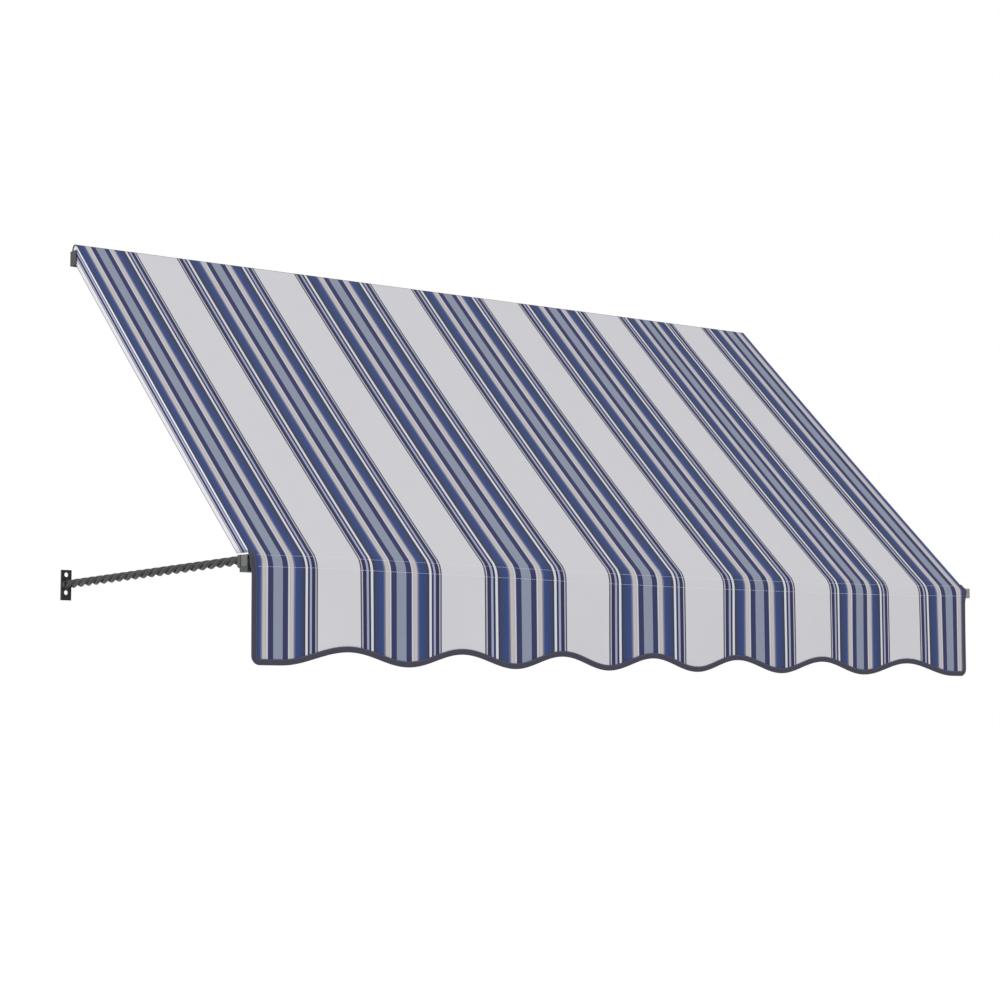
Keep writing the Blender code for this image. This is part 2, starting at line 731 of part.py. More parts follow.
def build_arm(word, side):
    start = Vector((arm_wall_x(side), -(FLANGE_METAL + ROOT_LENGTH + GAP), arm_wall_z))
    end = Vector((saddle_x(side), saddle_back + GAP, bar_z + ARM_ABOVE_BAR_MIDDLE))
    length = (end - start).length
    turns = length / ARM_LEAD
    steps = round(turns * ARM_STEPS_PER_TURN)
    sides = ARM_SIDES_PER_STRAND * ARM_STRANDS
    bm = bmesh.new()
    bmesh.ops.create_circle(bm, segments=sides, radius=ARM_RADIUS)
    for vert in bm.verts:
        angle = math.atan2(vert.co.y, vert.co.x)
        spot = around((0, 0), strand_outline(angle), angle)
        vert.co = (spot.x, spot.y, 0)
    bmesh.ops.spin(
        bm,
        geom=bm.verts[:] + bm.edges[:],
        cent=(0, 0, 0),
        axis=(0, 0, 1),
        dvec=(0, 0, length / steps),
        angle=-2 * math.pi * turns,
        steps=steps,
    )
    rims = [edge for edge in bm.edges if edge.is_boundary]
    bmesh.ops.holes_fill(bm, edges=rims, sides=sides)
    lean = Vector((0, 0, 1)).rotation_difference(end - start).to_matrix().to_4x4()
    bmesh.ops.transform(bm, matrix=Matrix.Translation(start) @ lean, verts=bm.verts)
    smooth(put("twisted_arm_" + word, mesh_of(bm, "twisted_arm"), BLACK_STEEL, PARTS), 60)


# Wall flange: an upright plate with two bolt holes and a root for the arm
def build_flange(word, side):
    x = arm_wall_x(side)
    plate = box(
        "wall_flange_" + word,
        (x - FLANGE_WIDTH / 2, -FLANGE_METAL, arm_wall_z - FLANGE_BELOW_ARM),
        (x + FLANGE_WIDTH / 2, 0, arm_wall_z + FLANGE_ABOVE_ARM),
        BLACK_STEEL,
        PARTS,
    )
    through = FLANGE_METAL + 2 * OVERCUT
    for offset in (FLANGE_HOLE_ABOVE_ARM, -FLANGE_HOLE_BELOW_ARM):
        start = (x, OVERCUT, arm_wall_z + offset)
        cut(plate, cone("flange_hole", (0, -1, 0), start, through, FLANGE_HOLE_RADIUS, sides=28))
    start = (x, -FLANGE_METAL / 2, arm_wall_z)
    length = ROOT_LENGTH + FLANGE_METAL / 2
    join(plate, cone("flange_root", (0, -1, 0), start, length, ROOT_RADIUS, ROOT_TIP_RADIUS, 28))


build_canvas()
build_binding()
build_sleeve()
build_head_rod()
build_brackets()
build_front_bar()
for word, side in SIDES.items():
    build_flange(word, side)
    build_arm(word, side)
    build_saddle(word, side)
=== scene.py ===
# Window awning, dressed for the picture. The sections follow the order in which it is put up:
# fittings on the wall, rod and bar, sleeve, canvas, stitches and braid, then floor, light and
# camera. Metres, +Z up, and the wall is the plane Y = 0.
import math

import bpy
import numpy as np
from mathutils import Matrix, Vector


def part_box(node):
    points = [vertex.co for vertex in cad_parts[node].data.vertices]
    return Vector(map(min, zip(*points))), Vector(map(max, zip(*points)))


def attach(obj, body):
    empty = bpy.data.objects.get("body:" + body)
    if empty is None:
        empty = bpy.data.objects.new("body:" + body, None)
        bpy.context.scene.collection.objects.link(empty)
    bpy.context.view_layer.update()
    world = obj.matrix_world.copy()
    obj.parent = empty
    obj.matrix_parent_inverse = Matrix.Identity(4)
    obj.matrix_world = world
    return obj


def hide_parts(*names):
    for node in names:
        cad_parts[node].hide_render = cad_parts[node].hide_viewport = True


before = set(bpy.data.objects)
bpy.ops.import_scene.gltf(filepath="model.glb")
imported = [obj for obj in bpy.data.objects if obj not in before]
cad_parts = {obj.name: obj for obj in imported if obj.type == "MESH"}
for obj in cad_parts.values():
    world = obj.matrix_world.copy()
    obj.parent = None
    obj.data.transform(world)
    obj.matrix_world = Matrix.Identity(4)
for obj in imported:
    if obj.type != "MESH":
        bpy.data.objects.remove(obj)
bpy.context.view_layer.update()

# Wall flanges
# Steel plates with two bolt holes and a welded root for the arm. They are cut from flat bar,
# edges broken, and powder coated black with the fine orange peel that such a coat has.
FLANGE_EDGE = 0.0006
COAT_BLACK = (30, 31, 32)
COAT_WORN = (72, 74, 75)
COAT_PEEL = 0.0012


def linear(red, green, blue):
    """A colour as it shows in the picture, 0 to 255, turned into the renderer's own values."""
    shares = [value / 255 for value in (red, green, blue)]
    straight = [s / 12.92 if s <= 0.04045 else ((s + 0.055) / 1.055) ** 2.4 for s in shares]
    return (*straight, 1.0)


class Socket:
    """One output in a material's nodes. Arithmetic on it adds the Math node that it needs."""

    def __init__(self, tree, output=None):
        self.tree = tree
        self.output = output

    def node(self, kind, settings, inputs, output=0):
        """Add a node, set it up, then fill its sockets with values or with other outputs."""
        made = self.tree.nodes.new("ShaderNode" + kind)
        for name, value in settings.items():
            if name == "stops":
                ramp = made.color_ramp
                while len(ramp.elements) < len(value):
                    ramp.elements.new(1.0)
                for stop, (place, colour) in zip(ramp.elements, value):
                    stop.position = place
                    stop.color = colour
            else:
                setattr(made, name, value)
        for name, value in inputs.items():
            if isinstance(value, Socket):
                self.tree.links.new(value.output, made.inputs[name])
            else:
                made.inputs[name].default_value = value
        return Socket(self.tree, made.outputs[output])

    def maths(self, operation, *values):
        return self.node("Math", {"operation": operation}, dict(enumerate(values)))

    def beside(self, index):
        """Another output of the same node."""
        return Socket(self.tree, self.output.node.outputs[index])

    def __add__(self, other):
        return self.maths("ADD", self, other)

    def __radd__(self, other):
        return self.maths("ADD", other, self)

    def __sub__(self, other):
        return self.maths("SUBTRACT", self, other)

    def __rsub__(self, other):
        return self.maths("SUBTRACT", other, self)

    def __mul__(self, other):
        return self.maths("MULTIPLY", self, other)

    def __truediv__(self, other):
        return self.maths("DIVIDE", self, other)

    def __abs__(self):
        return self.maths("ABSOLUTE", self)

    def __gt__(self, other):
        return self.maths("GREATER_THAN", self, other)

    def __lt__(self, other):
        return self.maths("LESS_THAN", self, other)

    def fract(self):
        return self.maths("FRACT", self)

    def sine(self):
        return self.maths("SINE", self)

    def mixed(self, first, second):
        """From the first colour to the second, as this value goes from 0 to 1."""
        return self.node("Mix", {"data_type": "RGBA"}, {0: self, 6: first, 7: second}, 2)

    def noise(self, place, scale, detail=2.0):
        return self.node("TexNoise", {}, {"Vector": place, "Scale": scale, "Detail": detail})

    def place(self):
        """Place on the piece in metres, which is the same as in the whole frame."""
        return self.node("TexCoord", {}, {}, 3)

    def bump(self, height, depth, strength=1.0):
        return self.node("Bump", {}, {"Height": height, "Distance": depth, "Strength": strength})


def new_finish(name, even):
    """A material whose even values are the same all over, and a start for its nodes."""
    made = bpy.data.materials.new(name)
    made.use_nodes = True
    for socket, value in even.items():
        made.node_tree.nodes["Principled BSDF"].inputs[socket].default_value = value
    return made, Socket(made.node_tree)


def vary(made, varying):
    """Lead what changes over the surface into the material's shader."""
    shader = made.node_tree.nodes["Principled BSDF"]
    for socket, value in varying.items():
        made.node_tree.links.new(value.output, shader.inputs[socket])
    return made


def powder_coat(name, dark, wear_and_painted_shade):
    made, start = new_finish(name, {"IOR": 1.5})
    place = start.place()
    cloud = start.noise(place, 55.0, 4.0)
    speck = start.noise(place, 420.0, 3.0)
    rubbed = (speck * cloud - 0.26) * 3.0
    peel = start.noise(place, 1 / COAT_PEEL, 1.0)
    return vary(made, {
        "Base Color": rubbed.mixed(linear(*dark), linear(*wear_and_painted_shade)),
        "Roughness": 0.34 + cloud * 0.22,
        "Normal": start.bump(peel, 0.0004, 0.35),
    })


def dress(node, finish, edge=0.0, segments=2):
    """Give a node from the frame its finish, and break its edges."""
    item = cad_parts[node]
    item.data.materials.clear()
    item.data.materials.append(finish)
    if edge:
        broken = item.modifiers.new("broken edges", "BEVEL")
        broken.width = edge
        broken.segments = segments
        broken.limit_method = "ANGLE"
        broken.angle_limit = math.radians(40)
        broken.harden_normals = True
    return item


coat = powder_coat("black_powder_coat", COAT_BLACK, COAT_WORN)
for side in ("left", "right"):
    dress("wall_flange_" + side, coat, FLANGE_EDGE)

# Twisted arms
# Three round bars laid side by side and twisted to the left while hot, welded to the flange
# at the wall and to the saddle at the front. The same black coat lies thin on the crowns.
ARM_RADIUS = 0.0078
ARM_LEAD = 0.084
ARM_ABOVE_BAR_MIDDLE = 0.0017
ARM_GAP = 0.0003
ARM_END_SINKS = 0.0006
ARM_SIDES = 60
ARM_RINGS_PER_TURN = 44
STRANDS = 3
ARM_DARK = (33, 34, 35)
ARM_WORN = (92, 93, 93)


def strand_crown(angle):
    """Distance from the arm's axis to its surface, for three bars laid round the axis."""
    bar = ARM_RADIUS / (1 + 1 / math.sin(math.pi / STRANDS))
    offset = ARM_RADIUS - bar
    pitch = 2 * math.pi / STRANDS
    local = (angle + pitch / 2) % pitch - pitch / 2
    return offset * math.cos(local) + math.sqrt(bar ** 2 - (offset * math.sin(local)) ** 2)


def piece_from(name, verts, faces, finish, corners=None, sharp=50):
    """A smooth-shaded piece that rides with the awning; corners hold its cloth map."""
    mesh = bpy.data.meshes.new(name)
    mesh.from_pydata([tuple(spot) for spot in verts], [], faces)
    if corners is not None:
        layer = mesh.uv_layers.new(name="cloth")
        layer.data.foreach_set("uv", np.array(corners, dtype=np.float32).ravel())
    mesh.shade_smooth()
    mesh.set_sharp_from_angle(angle=math.radians(sharp))
    mesh.materials.append(finish)
    item = bpy.data.objects.new(name, mesh)
    bpy.context.scene.collection.objects.link(item)
    return item


def tube_faces(rings, sides):
    """Quads between rings that each hold the same number of vertices."""
    faces = []
    for ring in range(rings - 1):
        for side in range(sides):
            after = (side + 1) % sides
            low, high = ring * sides, (ring + 1) * sides
            faces.append((low + side, low + after, high + after, high + side))
    return faces


arm_coat = powder_coat("black_coat_on_arms", ARM_DARK, ARM_WORN)
for side in ("left", "right"):
    flange_low, flange_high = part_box("wall_flange_" + side)
    saddle_low, saddle_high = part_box("arm_saddle_" + side)
    arm_low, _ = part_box("twisted_arm_" + side)
    wall_end = Vector(((flange_low.x + flange_high.x) / 2, flange_low.y - ARM_GAP, 0))
    wall_end.z = arm_low.z + ARM_RADIUS - ARM_END_SINKS
    saddle_end = Vector(((saddle_low.x + saddle_high.x) / 2, saddle_high.y + ARM_GAP, 0))
    saddle_end.z = sum(corner.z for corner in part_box("front_bar")) / 2 + ARM_ABOVE_BAR_MIDDLE
    along = saddle_end - wall_end
    turns = along.length / ARM_LEAD
    rings = round(turns * ARM_RINGS_PER_TURN) + 1
    lean = Vector((0, 0, 1)).rotation_difference(along).to_matrix()
    verts = []
    for ring in range(rings):
        share = ring / (rings - 1)
        for step in range(ARM_SIDES):
            angle = 2 * math.pi * step / ARM_SIDES
            out = strand_crown(angle)
            turned = angle - 2 * math.pi * turns * share
            spot = Vector((out * math.cos(turned), out * math.sin(turned), along.length * share))
            verts.append(wall_end + lean @ spot)
    faces = tube_faces(rings, ARM_SIDES)
    faces.append(tuple(reversed(range(ARM_SIDES))))
    faces.append(tuple(range((rings - 1) * ARM_SIDES, rings * ARM_SIDES)))
    arm = piece_from("twisted_bars_" + side, verts, faces, arm_coat, sharp=48)
    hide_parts("twisted_arm_" + side)
    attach(arm, "root")

# Saddles and their screws
# Cast hooks on the ends of the arms that take the bar from behind and below, coated with the
# arms. A zinc-plated grub screw in each foot locks the bar.
SADDLE_EDGE_BREAK = 0.0005
SCREW_EDGE_BREAK = 0.0002
SADDLE_DARK = (46, 48, 50)
SADDLE_WORN = (92, 94, 96)
ZINC_PALE = (150, 152, 156)
ZINC_DULL = (104, 106, 110)


def bright_metal(name, pale, dull, rough, drawn):
    """Bare or plated metal with faint clouds, drawn out by the given factors on X, Y and Z."""
    made, start = new_finish(name, {"Metallic": 1.0})
    place = start.node("Mapping", {}, {"Vector": start.place(), "Scale": drawn})
    cloud = start.noise(place, 90.0, 3.0)
    hair = start.noise(place, 900.0, 2.0)
    return vary(made, {
        "Base Color": (cloud * 1.4 - 0.2).mixed(linear(*dull), linear(*pale)),
        "Roughness": rough + hair * 0.16,
        "Normal": start.bump(hair, 0.00015, 0.3),
    })


saddle_coat = powder_coat("black_coat_on_castings", SADDLE_DARK, SADDLE_WORN)
zinc = bright_metal("zinc_plate", ZINC_PALE, ZINC_DULL, 0.28, (1, 1, 1))
for side in ("left", "right"):
    dress("arm_saddle_" + side, saddle_coat, SADDLE_EDGE_BREAK)
    dress("set_screw_" + side, zinc, SCREW_EDGE_BREAK)

# Head brackets and their screws
# Bent steel angles, screwed to the wall, that carry the rod on their shelves. A round-headed
# zinc-plated screw goes up through each shelf and the pocket into the rod.
BRACKET_DARK = (32, 34, 34)
BRACKET_WORN = (46, 48, 48)
BRACKET_EDGE = 0.0004

bracket_coat = powder_coat("black_coat_on_brackets", BRACKET_DARK, BRACKET_WORN)
for place_name in ("left", "centre", "right"):
    dress("head_bracket_" + place_name, bracket_coat, BRACKET_EDGE)
    dress("head_screw_" + place_name, zinc, SCREW_EDGE_BREAK)

# Head rod and front bar
# Extruded aluminium in mill finish, drawn lines along X. The rod is round and lies in the head
# pocket, the bar is square and hangs the valance, and both end in plastic plugs.
ALUMINIUM_PALE = (160, 160, 158)
ALUMINIUM_DULL = (124, 124, 123)
BAR_CORNER = 0.0008
DRAWN_ALONG_X = (0.02, 1, 1)
PLUG_GREY = (84, 87, 85)
PLUG_SCUFFED = (96, 99, 96)
PLUG_PALE = (222, 222, 222)
PLUG_PALE_SCUFFED = (204, 204, 203)


def moulded_plastic(name, plain, scuffed):
    made, start = new_finish(name, {"IOR": 1.46})
    place = start.place()
    cloud = start.noise(place, 120.0, 3.0)
    grain = start.noise(place, 1600.0, 1.0)
    return vary(made, {
        "Base Color": cloud.mixed(linear(*plain), linear(*scuffed)),
        "Roughness": 0.42 + grain * 0.2,
        "Normal": start.bump(grain, 0.0002, 0.3),
    })


aluminium = bright_metal(
    "mill_finish_aluminium", ALUMINIUM_PALE, ALUMINIUM_DULL, 0.32, DRAWN_ALONG_X
)
grey_plug = moulded_plastic("grey_plug_plastic", PLUG_GREY, PLUG_SCUFFED)
pale_plug = moulded_plastic("pale_plug_plastic", PLUG_PALE, PLUG_PALE_SCUFFED)
dress("head_rod", aluminium)
dress("front_bar", aluminium, BAR_CORNER, 3)
for side in ("left", "right"):
    dress("front_bar_plug_" + side, grey_plug, BAR_CORNER, 3)
    dress("head_rod_plug_" + side, pale_plug)

# Bar sleeve
# A strip of plain cloth behind the canvas, sewn to it along both stitch rows, that runs over
# and round the front bar between the saddles. Its hidden side shows only from behind.
SLEEVE_THICK = 0.0008
BEND_RADIUS = 0.040
CANVAS_THICK = 0.0012
CLEAR = 0.0003
FOLD_BELOW_TOP = 0.5963
SLEEVE_COLUMNS = 160
SLEEVE_WEAVE_PITCH = 0.0016
SLEEVE_FRONT_TAIL = 0.0030
SLEEVE_BACK_TAIL_TOP = 0.0175
SLEEVE_BACK_TAIL_END = 0.0235
SLEEVE_CLOTH = (196, 197, 202)
SLEEVE_SHADE = (176, 178, 186)
canopy_low, canopy_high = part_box("canopy")
rod_low, rod_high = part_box("head_rod")
bar_low, bar_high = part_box("front_bar")
braid_low, braid_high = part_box("valance_binding")
rod_centre = Vector(((rod_low.y + rod_high.y) / 2, (rod_low.z + rod_high.z) / 2))
pocket_radius = (rod_high.z - rod_low.z) / 2 + CLEAR + CANVAS_THICK
left_edge = braid_low.x
right_edge = braid_high.x
fold = Vector((canopy_low.y, canopy_high.z - FOLD_BELOW_TOP))
to_rod = rod_centre - fold
slope = math.atan2(to_rod.y, to_rod.x) + math.asin(pocket_radius / to_rod.length)
slope_length = math.sqrt(to_rod.length ** 2 - pocket_radius ** 2)
up_slope = Vector((math.cos(slope), math.sin(slope)))
off_slope = Vector((-math.sin(slope), math.cos(slope)))
turn = math.pi / 2 - slope


def bend_reach(radius):
    """How far a bend of this radius reaches from the fold, up the slope and down the front."""
    return radius * math.tan(turn / 2)


def arc(centre, radius, start, end, steps):
    return [
        Vector((centre[0] + radius * math.cos(a), centre[1] + radius * math.sin(a)))
        for a in np.linspace(start, end, steps + 1)
    ]


def sleeve_path():
    """Outer side of the strip as (y, z): up behind the bend, over the bar and down again."""
    outer = BEND_RADIUS - CANVAS_THICK - CLEAR
    centre = (fold.x + BEND_RADIUS, fold.y - bend_reach(BEND_RADIUS))
    edge = CLEAR + SLEEVE_THICK
    front_tail = math.pi - math.asin((fold.y - SLEEVE_FRONT_TAIL - centre[1]) / outer)
    over_bar = math.pi - math.asin((bar_high.z + edge - centre[1]) / outer)
    path = arc(centre, outer, front_tail, over_bar, 12)
    path += arc((bar_high.y, bar_high.z), edge, math.pi / 2, 0, 5)
    path += arc((bar_high.y, bar_low.z), edge, 0, -math.pi / 2, 5)
    tail = fold.x + CANVAS_THICK + CLEAR + SLEEVE_THICK
    below_bar = Vector((bar_low.y, bar_low.z - edge))
    tail_top = Vector((tail, fold.y - SLEEVE_BACK_TAIL_TOP))
    path += [below_bar, below_bar.lerp(tail_top, 0.5), tail_top]
    path.append(Vector((tail, fold.y - SLEEVE_BACK_TAIL_END)))
    return path


def cloth_patch(numbers, maps, faces, corners):
    """Quads over a grid of vertex numbers, with the cloth map that goes with them."""
    for row in range(len(numbers) - 1):
        for column in range(len(numbers[0]) - 1):
            spots = ((row, column), (row, column + 1), (row + 1, column + 1), (row + 1, column))
            faces.append([int(numbers[i][j]) for i, j in spots])
            corners.extend([maps[i][j] for i, j in spots])


def shell(item, thickness):
    """Give a sheet its thickness, on the side that its normals point to."""
    solid = item.modifiers.new("cloth thickness", "SOLIDIFY")
    solid.thickness = thickness
    solid.offset = 1.0
    solid.use_even_offset = True
    return item


def plain_weave(start, across, along, pitch):
    """Height of a plain weave, from 0 to 1, whose yarns lie a pitch apart."""
    beat = 2 * math.pi / pitch
    return (across * beat).sine() * (along * beat).sine() * 0.5 + 0.5


sleeve_weave, start = new_finish("sleeve_weave", {"Roughness": 0.92, "IOR": 1.4})
place = start.node("SeparateXYZ", {}, {0: start.node("UVMap", {"uv_map": "cloth"}, {})})
weave = plain_weave(start, place, place.beside(1), SLEEVE_WEAVE_PITCH)
cloud = start.noise(start.place(), 60.0, 4.0)
vary(sleeve_weave, {
    "Base Color": (cloud * 0.7 + weave * 0.3).mixed(linear(*SLEEVE_SHADE), linear(*SLEEVE_CLOTH)),
    "Normal": start.bump(weave, 0.0002, 0.4),
})
sleeve_low, sleeve_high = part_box("bar_sleeve")
path = sleeve_path()
run = np.concatenate([[0], np.cumsum([(b - a).length for a, b in zip(path, path[1:])])])
columns = np.linspace(sleeve_high.x, sleeve_low.x, SLEEVE_COLUMNS + 1)
verts = [(x, spot.x, spot.y) for spot in path for x in columns]
numbers = np.arange(len(verts)).reshape(len(path), -1)
maps = [[(x, down) for x in columns] for down in run]
faces, corners = [], []
cloth_patch(numbers, maps, faces, corners)
sleeve = piece_from("sleeve_cloth_strip", verts, faces, sleeve_weave, corners, 60)
shell(sleeve, SLEEVE_THICK)
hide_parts("bar_sleeve")
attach(sleeve, "root")

# Canvas
# One sheet of yarn-dyed acrylic canvas: a pocket round the rod, the slope, a soft bend over
# the bar and the scalloped valance, with both sides of the slope folded down as returns.
HEAD_WIDTH = 1.6376
FRONT_SHIFT = 0.0101
FRONT_WIDTH = 1.6518
VALANCE_LEAN = 0.0011
BEND_AT_ENDS = 0.012
BEND_TIGHT_FOR = 0.006
BEND_EASES_OVER = 0.036
RETURN_WIDTH = 0.0262
RETURN_HEM_LINE = 0.0012
RETURN_HEAD_GAP = 0.0017
RETURN_BAR_GAP = 0.0032
POCKET_SEAM = 0.022
POCKET_TAIL = 0.010
LAP_OFFSET = 0.0028
LAP_INSET = 0.002
VALANCE_DEPTH = 0.1706
SCALLOP_DEPTH = 0.0228
SCALLOP_PITCH = 0.1025
SCALLOP_SPREAD = 1.26
SCALLOP_HALVES = 7
SCALLOP_SHIFT = 0.0172
CORNER_RADIUS = 0.015
BRAID_THICK = 0.0006
SLOPE_SAG = 0.0022
FRONT_RIPPLE = 0.00108
RIPPLE_STARTS = 0.03
CORNER_COLUMNS = 8
HEM_COLUMNS = 250
LAP_ROWS = 3
POCKET_ROWS = 20
SLOPE_ROWS = 40
BEND_ROWS = 16
FRONT_ROWS = 24
WEAVE_PITCH = 0.0014
# Where each blue band starts and ends on the valance, from left to right
BANDS = (
    (-0.8411, -0.6914),
    (-0.6100, -0.4467),
    (-0.3577, -0.1800),
    (-0.0846, 0.0943),
    (0.1861, 0.3681),
    (0.4591, 0.6194),
    (0.7034, 0.8760),
)
# Up the slope the stripes curve: a little to the left above the bar, and from the share of
# the way where there is no drift, to the right. It is strongest at DRIFT_MIDDLE.
DRIFT_CURVE = 0.018306
DRIFT_MIDDLE = 0.06
DRIFT_HALF = 0.78
DRIFT_NONE_AT = 0.3
BAND_SHARE = 0.65
BAND_AND_GAP = 0.27
OFF_WHITE = (205, 205, 209)
EDGE_LINE = (70, 70, 92)
EDGE_GREY = (185, 186, 200)
NAVY = (50, 52, 92)
NAVY_DARK = (44, 43, 72)
SLATE = (52, 62, 94)
ROYAL = (48, 70, 126)
PERIWINKLE = (155, 162, 195)
LINE_WHITE = (212, 212, 215)
LAVENDER_GREY = (135, 143, 162)
BEIGE = (190, 182, 183)
BEIGE_SHADE = (136, 134, 146)
BEIGE_EDGE = (165, 163, 167)
PALE_GREY = (196, 200, 206)
# From the edge of a band to its middle: where each yarn colour ends, as a share of the band,
# and the colours at its start and end
YARNS = (
    (0.018, EDGE_LINE, EDGE_LINE),
    (0.031, EDGE_GREY, EDGE_GREY),
    (0.076, NAVY_DARK, NAVY_DARK),
    (0.102, PERIWINKLE, PERIWINKLE),
    (0.127, NAVY_DARK, NAVY_DARK),
    (0.156, LINE_WHITE, LINE_WHITE),
    (0.182, NAVY_DARK, SLATE),
    (0.276, SLATE, ROYAL),
    (0.306, ROYAL, BEIGE_SHADE),
    (0.345, BEIGE, BEIGE),
    (0.353, BEIGE_EDGE, BEIGE_EDGE),
    (0.374, PALE_GREY, PALE_GREY),
    (0.441, NAVY, NAVY),
    (0.500, LAVENDER_GREY, LAVENDER_GREY),
)
# On the left return the pattern runs on from its white line, drawn together by the fold: how
# far each yarn reaches from the fold, and its place in the band
RETURN_REACHES = (0.0, 0.0037, 0.0056, 0.0088, 0.0136, 0.0153, 0.0170, 0.0280)
RETURN_YARNS = (0.156, 0.127, 0.102, 0.076, 0.031, 0.018, 0.0, -0.1)
EDGE_LINE_MIDDLE = 0.009
# Painted shade along the crest of the pocket, where the roll turns away: where it starts and ends,
# from the slope
CREST_SHADE_SPAN = (0.0010, 0.0052)


def scallop_drop(x):
    """Depth of the hem below the fold at x."""
    offset = abs(x - SCALLOP_SHIFT)
    halves = min(offset / SCALLOP_PITCH - SCALLOP_SPREAD * offset ** 3, SCALLOP_HALVES)
    return VALANCE_DEPTH - SCALLOP_DEPTH * (1 + math.cos(math.pi * halves)) / 2


def hem_points(inset):
    """The hem as (x, depth below the fold), moved in by inset, with round corners."""
    left = left_edge + inset
    right = right_edge - inset
    radius = CORNER_RADIUS - inset
    corner = [math.pi / 2 * k / CORNER_COLUMNS for k in range(CORNER_COLUMNS)]
    deep = [scallop_drop(x) - inset for x in (left, right)]
    points = [
        (left + radius * (1 - math.cos(a)), deep[0] - radius * (1 - math.sin(a)))
        for a in corner
    ]
    for x in np.linspace(left + radius, right - radius, HEM_COLUMNS + 1):
        points.append((float(x), scallop_drop(x) - inset))
    points += [
        (right - radius * (1 - math.cos(a)), deep[1] - radius * (1 - math.sin(a)))
        for a in reversed(corner)
    ]
    return points


def bend_at(x):
    """The bend is tight over the saddles and slack between them."""
    from_end = min(x - left_edge, right_edge - x)
    share = min(max((from_end - BEND_TIGHT_FOR) / BEND_EASES_OVER, 0.0), 1.0)
    return BEND_AT_ENDS + (BEND_RADIUS - BEND_AT_ENDS) * share * share * (3 - 2 * share)


def ripple(x, depth):
    """How far the hanging valance stands in or out, more towards its hem."""
    share = min(max((depth - RIPPLE_STARTS) / (VALANCE_DEPTH - RIPPLE_STARTS), 0.0), 1.0)
    wave = math.sin(19.0 * x + 0.6) + 0.5 * math.sin(41.0 * x + 2.1)
    return FRONT_RIPPLE * wave * share * (2 - share)


def lean(depth):
    """The hanging valance leans a little to the right, towards its hem."""
    return VALANCE_LEAN * (2 * depth / VALANCE_DEPTH - 1)


def slope_x(share, up):
    """X on the slope: share runs across from 0 to 1, and up from 0 at the fold to 1."""
    width = FRONT_WIDTH + (HEAD_WIDTH - FRONT_WIDTH) * up
    return FRONT_SHIFT * (1 - up) + (share - 0.5) * width


def slope_spot(x, up):
    """A place on the slope, with the sag that the cloth takes between rod and bar."""
    share = min(max(up / slope_length, 0.0), 1.0)
    spot = fold + up_slope * up - off_slope * SLOPE_SAG * 4 * share * (1 - share)
    return (x, spot.x, spot.y)


canvas_hem = hem_points(BRAID_THICK + CLEAR)
return_top = slope_length - RETURN_HEAD_GAP
return_low = (bar_high.z + RETURN_BAR_GAP - fold.y) / math.sin(slope)
half_wedge = math.atan2(pocket_radius, POCKET_SEAM)
angle_on = slope + math.pi / 2
angle_off = angle_on + math.pi - 2 * half_wedge


def canvas_column(x, depth, share):
    """The sheet from the pocket's lap down to the hem, at one place across."""
    head_x = slope_x(share, 1.0) * (1 - 2 * LAP_INSET / HEAD_WIDTH)
    spots = []
    for back in np.linspace(POCKET_SEAM + POCKET_TAIL, POCKET_SEAM, LAP_ROWS):
        spot = fold + up_slope * (slope_length - back) - off_slope * LAP_OFFSET
        spots.append((head_x, spot.x, spot.y))
    full_x = slope_x(share, 1.0)
    wrap = arc(rod_centre, pocket_radius, angle_off, angle_on + 2 * math.pi, POCKET_ROWS)
    spots += [(full_x if k else head_x, spot.x, spot.y) for k, spot in enumerate(wrap)]
    radius = bend_at(x)
    reach = bend_reach(radius)
    low = max(return_low, reach + CANVAS_THICK)
    for up in np.linspace(return_top, low, SLOPE_ROWS + 1):
        spots.append(slope_spot(slope_x(share, up / slope_length), up))
    centre = (fold.x + radius, fold.y - reach)
    bend = arc(centre, radius, slope + math.pi / 2, math.pi, BEND_ROWS)
    begin = slope_x(share, reach / slope_length)
    end = x + lean(reach)
    for k, spot in enumerate(bend):
        spots.append((begin + (end - begin) * k / BEND_ROWS, spot.x, spot.y))
    for down in np.linspace(reach, depth, FRONT_ROWS + 1)[1:]:
        spots.append((x + lean(down), fold.x - ripple(x, down), fold.y - down))
    return spots


def stripe_phase(x):
    """Whole number at the start of each band, and its share of a band and a gap after that."""
    places = [edge for band in BANDS for edge in band]
    phases = [k + part for k in range(len(BANDS)) for part in (0.0, BAND_SHARE)]
    return float(np.interp(x, places, phases))


def drift(x, up):
    """How far the stripes lie off their straight course, at a share of the way up the slope."""
    across = max(1 - ((x - DRIFT_MIDDLE) / DRIFT_HALF) ** 2, 0.0)
    return DRIFT_CURVE * across * up * (up - DRIFT_NONE_AT)


def yarn_stops():
    """The yarns as stops of a colour ramp, with off-white beyond the band's edge at 0."""
    stops = [(0.0, linear(*OFF_WHITE)), (0.004, linear(*YARNS[0][1]))]
    for (end, first, last), (_, after, _) in zip(YARNS, YARNS[1:]):
        stops.append((2 * end - 0.004, linear(*last)))
        stops.append((2 * end + 0.004, linear(*after)))
    stops.append((1.0, linear(*YARNS[-1][2])))
    return stops


left_hem, right_hem = canvas_hem[0][0], canvas_hem[-1][0]
grid = []
for x, depth in canvas_hem:
    grid.append(canvas_column(x, depth, (x - left_hem) / (right_hem - left_hem)))
grid = np.array(grid).transpose(1, 0, 2)
rows, columns = grid.shape[:2]
steps = np.linalg.norm(np.diff(grid[:, columns // 2], axis=0), axis=1)
down = np.concatenate([[0], np.cumsum(steps)])
ups = [1.0] * (LAP_ROWS + POCKET_ROWS + 1) + list(np.linspace(1.0, 0.0, SLOPE_ROWS + 1))
ups += [0.0] * (rows - len(ups))
first = LAP_ROWS + POCKET_ROWS + 1
crest_at = float(down[first - 1])

